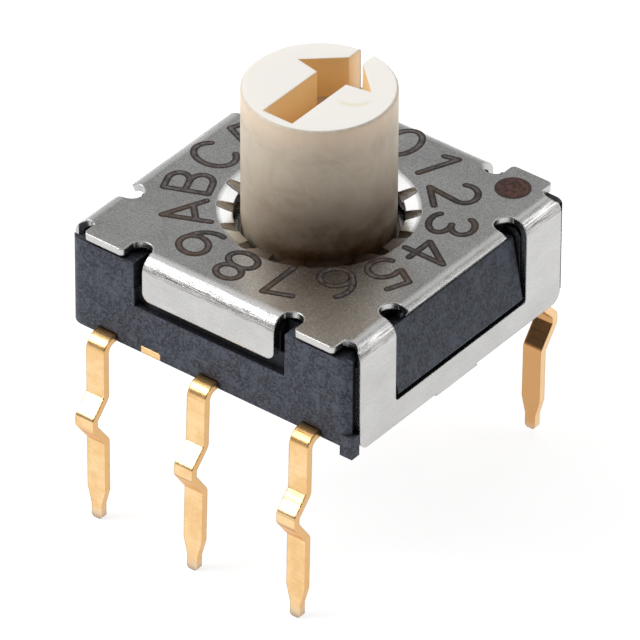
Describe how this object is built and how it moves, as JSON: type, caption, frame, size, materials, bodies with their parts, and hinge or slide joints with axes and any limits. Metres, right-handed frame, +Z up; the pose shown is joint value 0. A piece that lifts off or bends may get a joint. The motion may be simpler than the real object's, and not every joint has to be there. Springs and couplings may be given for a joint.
{
  "type": "rotary dip switch",
  "caption": "Small square rotary coded switch with a slotted shaft, a stamped steel cover and two rows of kinked leads for a circuit board.",
  "frame": {"origin": "centre of the lead grid, on the plane where the housing's feet stand on the circuit board; the rotor turns about the Z axis through it", "axes": "+Z up along the shaft, +Y towards the rear row of leads, where the arrow points at position zero, +X towards one of the two framed sides"},
  "size_m": [0.0072, 0.0086, 0.0094],
  "materials": {
    "housing_plastic": "matte",
    "cover_steel": "satin",
    "rotor_plastic": "semi-matte",
    "lead_gold": "gold plated, satin",
    "spring_steel": "bright",
    "seal_rubber": "matte"
  },
  "bodies": {
    "switch_body": {"housing": "housing_plastic", "cover": "cover_steel", "lead_bit_1": "lead_gold", "lead_common_front": "lead_gold", "lead_bit_4": "lead_gold", "lead_bit_2": "lead_gold", "lead_common_rear": "lead_gold", "lead_bit_8": "lead_gold", "contact_bit_1": "lead_gold", "contact_common_front": "lead_gold", "contact_bit_4": "lead_gold", "contact_bit_2": "lead_gold", "contact_common_rear": "lead_gold", "contact_bit_8": "lead_gold"},
    "rotor_body": {"rotor": "rotor_plastic", "detent_spring": "spring_steel", "seal_ring": "seal_rubber", "code_disc": "lead_gold"}
  },
  "joints": [
    {"name": "rotor_turn", "type": "hinge", "parent": "switch_body", "child": "rotor_body", "pos_m": [0, 0, 0.00252], "axis": [0, 0, 1], "continuous": true}
  ]
}
